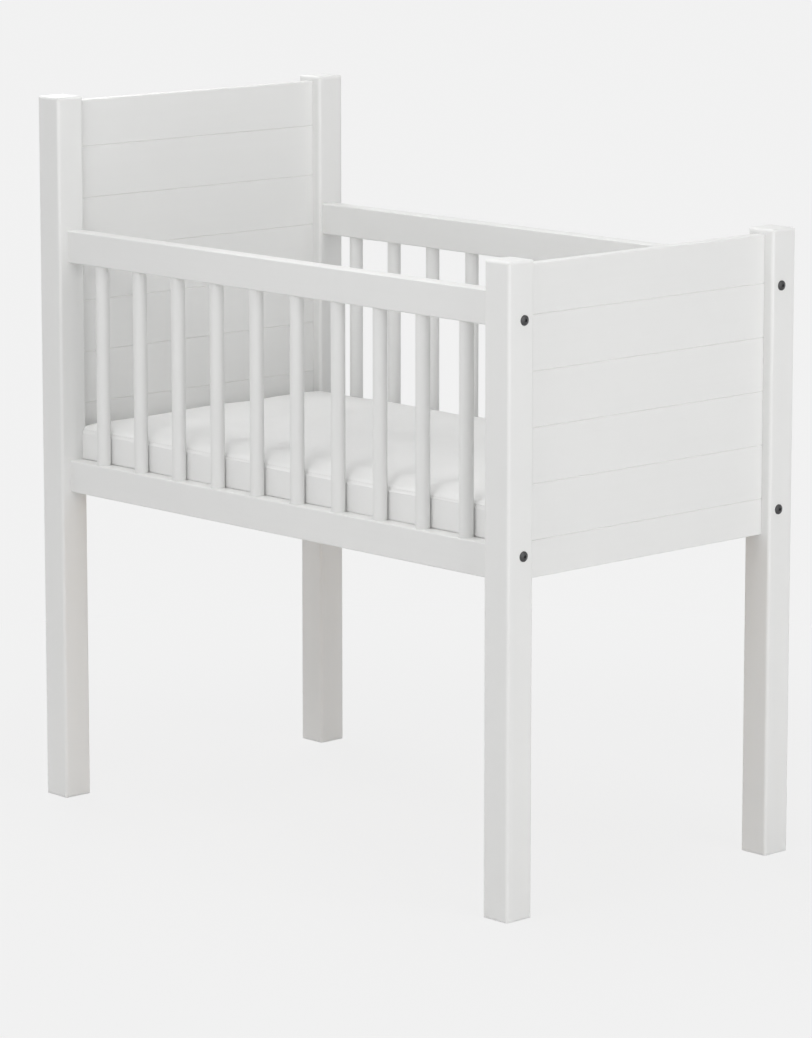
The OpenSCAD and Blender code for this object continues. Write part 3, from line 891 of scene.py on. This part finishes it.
def knit_group():
    """The height of small V shaped loops, and the gaps between them."""
    inputs = {"Position": None, "Rows per metre": 800.0, "Unevenness": 0.35}
    tree, given, end = open_group("knitted cloth", inputs, ["Height", "Gaps"])
    rows = given["Rows per metre"]
    normal = add(tree, "SeparateXYZ", {0: add(tree, "NewGeometry").outputs["Normal"]})
    place = add(tree, "SeparateXYZ", {0: given["Position"]})
    on_end = calc(tree, "GREATER_THAN", calc(tree, "ABSOLUTE", normal.outputs[0]), FACES_AN_END)
    on_side = calc(tree, "LESS_THAN", calc(tree, "ABSOLUTE", normal.outputs[2]), FACES_SIDEWAYS)
    across = add(tree, "Mix", {0: on_end, 2: place.outputs[0], 3: place.outputs[1]}, data_type="FLOAT")
    along = add(tree, "Mix", {0: on_side, 2: place.outputs[1], 3: place.outputs[2]}, data_type="FLOAT")
    wobble = noise(tree, given["Position"], scale=60.0, detail=2.0)
    shift = calc(tree, "MULTIPLY", wobble, given["Unevenness"])
    fold = calc(tree, "PINGPONG", vary(tree, shift, across.outputs[0], rows), 0.5)
    row = vary(tree, calc(tree, "MULTIPLY", fold, V_SLOPE), along.outputs[0], rows)
    loops = calc(tree, "SINE", calc(tree, "MULTIPLY", row, 2 * math.pi))
    ribs = calc(tree, "SINE", calc(tree, "MULTIPLY", fold, 2 * math.pi))
    height = vary(tree, vary(tree, 0.25, ribs, 0.5), loops, 0.25)
    gaps = remap(tree, height, start=0.20, end=0.0)
    return close_group(tree, end, Height=height, Gaps=gaps)


knitted_cloth = knit_group()

# %% [markdown]
# White cloth is soft to the eye: it is rough, has a faint sheen from its fibres, and gets painted shade in
# the gaps of the knitting. The film's clouds vary its tone over a hand's width, and its peel stands for the
# small dents of a used cover. The thread is the same material, a shade darker, so the stitches can be seen.

# %% White cover and sewing thread
CLOTH_PALE = (0.90, 0.90, 0.89, 1)
CLOTH_SHADE = (0.87, 0.87, 0.865, 1)
CLOTH_GAP_SHADE = (0.62, 0.62, 0.61, 1)
THREAD_PALE = (0.80, 0.80, 0.79, 1)
THREAD_SHADE = (0.74, 0.74, 0.73, 1)


def white_cover(name, rows, pale, shade):
    """A white cloth with so many rows of loops to the metre."""
    made, tree, shader, _ = start_material(name)
    place = add(tree, "TexCoord").outputs["Object"]
    knit = use_group(tree, knitted_cloth, {"Position": place, "Rows per metre": rows, "Unevenness": 0.5})
    sizes = {"Peel per metre": 260.0, "Clouds per metre": 12.0}
    film = use_group(tree, paint_film, {"Position": place, **sizes})
    clouds = film.outputs["Clouds"]
    toned = mix_colour(tree, clouds, pale, shade)
    # Painted shade: the gaps between the loops are tinted darker, as shade falling into them would be.
    gap_shaded = tint(tree, toned, knit.outputs["Gaps"], 0.25, CLOTH_GAP_SHADE)
    tree.links.new(gap_shaded, shader.inputs["Base Color"])
    tree.links.new(vary(tree, 0.82, clouds, 0.12), shader.inputs["Roughness"])
    shader.inputs["Sheen Weight"].default_value = 0.15
    shader.inputs["Sheen Roughness"].default_value = 0.5
    relief(tree, shader, [(film.outputs["Peel"], 0.00018), (knit.outputs["Height"], 0.00012)])
    return made


cover_cloth = white_cover("white knitted cover", 800.0, CLOTH_PALE, CLOTH_SHADE)
thread = white_cover("white sewing thread", 2600.0, THREAD_PALE, THREAD_SHADE)
cover.data.materials.append(cover_cloth)
stitches.data.materials.append(thread)
print("materials:", cover_cloth.name, "and", thread.name)

# %% [markdown]
# The two new pieces lie on the base, so they move with the mattress body when it is lifted.
# The cover stands for the plain solid of the construction model, which is then hidden.

# %% Put the mattress on its body
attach(cover, "mattress")
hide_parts("mattress")
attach(stitches, "mattress")
print("mattress", [round(1000 * side, 1) for side in cover.dimensions], "mm")

# %% [markdown]
# The cradle stands on a plain pale floor. A real studio floor curves up behind the object, but a wide flat
# one does as well, when the world behind it has the same tone.
# Near the legs a little of the lit floor shows, with a soft shadow. Further out it fades to one even tone,
# which the camera sees and the lamps don't change.

# %% Floor
BACKGROUND = (0.884, 0.884, 0.884, 1)
FLOOR_TONE = (0.80, 0.80, 0.80, 1)
FLOOR_HALF = 40.0
FADE_START = 0.50  # metres from the middle
FADE_END = 1.4
EVEN_SHARE = 0.92  # share of the even tone up to there


def seen_directly(tree):
    """1 for rays from the camera, and for those that a mirror or glass sends on."""
    path = add(tree, "LightPath")
    sharp = calc(tree, "MAXIMUM", path.outputs["Is Glossy Ray"], path.outputs["Is Transmission Ray"])
    return calc(tree, "MAXIMUM", path.outputs["Is Camera Ray"], sharp)


def floor_material():
    """A lit floor round the legs that fades to the background's tone."""
    made, tree, shader, output = start_material("pale floor")
    shader.inputs["Base Color"].default_value = FLOOR_TONE
    shader.inputs["Roughness"].default_value = 0.8
    shader.inputs["Specular IOR Level"].default_value = 0.2
    even = add(tree, "Emission", {"Color": BACKGROUND, "Strength": 1.0})
    place = add(tree, "TexCoord").outputs["Object"]
    reach = add(tree, "VectorMath", {0: place}, operation="LENGTH").outputs["Value"]
    fade = remap(tree, reach, FADE_START, FADE_END, low=EVEN_SHARE, curve="SMOOTHERSTEP")
    share = calc(tree, "MULTIPLY", fade, seen_directly(tree))
    both = add(tree, "MixShader", {0: share, 1: shader.outputs[0], 2: even.outputs[0]})
    tree.links.new(both.outputs[0], output.inputs["Surface"])
    return made


corners = [(x * FLOOR_HALF, y * FLOOR_HALF, 0.0) for x, y in ((-1, -1), (1, -1), (1, 1), (-1, 1))]
floor_mesh = bpy.data.meshes.new("floor")
floor_mesh.from_pydata(corners, [], [(0, 1, 2, 3)])
floor = bpy.data.objects.new("floor", floor_mesh)
floor.data.materials.append(floor_material())
scene.collection.objects.link(floor)
print("floor", 2 * FLOOR_HALF, "m wide")

# %% [markdown]
# The world shows the floor's tone behind the cradle, and it also lights the cradle softly from all round.
# Its light leans one way, as in a white room that is open to the front: it is brightest from the front and
# from low down, where the floor sends light back, and almost none comes from behind and above.
# The lean is a direction. Each direction of the sky is compared with it, and that sets the strength.

# %% World
WORLD_LIGHT = 0.458
WORLD_LEAN = (-0.3, -0.8, -0.5)  # towards the front, down, and a little to the head

world = bpy.data.worlds.new("studio")
world.use_nodes = True
scene.world = world
sky = world.node_tree
sky.nodes.clear()
way = add(sky, "TexCoord").outputs["Generated"]
lean = add(sky, "VectorMath", {0: way, 1: WORLD_LEAN}, operation="DOT_PRODUCT")
power = calc(sky, "MULTIPLY", calc(sky, "ADD", lean.outputs["Value"], 1.0), WORLD_LIGHT)
glow = add(sky, "Background", {"Color": (1, 1, 1, 1), "Strength": power})
shown = add(sky, "Background", {"Color": BACKGROUND, "Strength": 1.0})
chosen = add(sky, "MixShader", {0: seen_directly(sky), 1: glow.outputs[0], 2: shown.outputs[0]})
add(sky, "OutputWorld", {"Surface": chosen.outputs[0]})
print("world light", WORLD_LIGHT, "leaning", WORLD_LEAN)

# %% [markdown]
# Studio light for white furniture is broad and soft: part of it comes from the white room all round, which
# is the world here, and the rest from large panels. The key is the smallest and nearest panel, so it draws
# the slats' shadows on the mattress, which spread out like a fan. The others fill both ends, the front and
# the top. None comes from behind, so the slats stay darker on their inner sides.
# Each lamp is placed by the direction it comes from, its distance and its size, and looks at the cradle.

# %% Lamps
AIM = Vector((0.0, 0.0, 0.5))
LAMPS = [
    # name, azimuth from the front to the foot and elevation in degrees, distance and size in metres, watts
    ("key", 17, 37, 1.9, 0.65, 5.7),
    ("front fill", 30, 12, 2.3, 1.4, 1.0),
    ("foot fill", 90, 15, 3.6, 2.4, 53.0),
    ("head fill", -105, 25, 3.6, 2.4, 39.0),
    ("top", 0, 88, 3.2, 2.4, 44.0),
]


def place_lamp(name, azimuth, elevation, distance, size, power):
    """A square panel of light that looks at the cradle."""
    turn = math.radians(azimuth)
    rise = math.radians(elevation)
    way = Vector((math.sin(turn) * math.cos(rise), -math.cos(turn) * math.cos(rise), math.sin(rise)))
    light = bpy.data.lights.new(name, "AREA")
    light.shape = "SQUARE"
    light.size = size
    light.energy = power
    lamp = bpy.data.objects.new(name, light)
    lamp.location = AIM + way * distance
    lamp.rotation_mode = "QUATERNION"
    lamp.rotation_quaternion = way.to_track_quat("Z", "Y")
    scene.collection.objects.link(lamp)
    return lamp


lamps = [place_lamp(*row) for row in LAMPS]
print("lamps:", ", ".join(lamp.name for lamp in lamps))
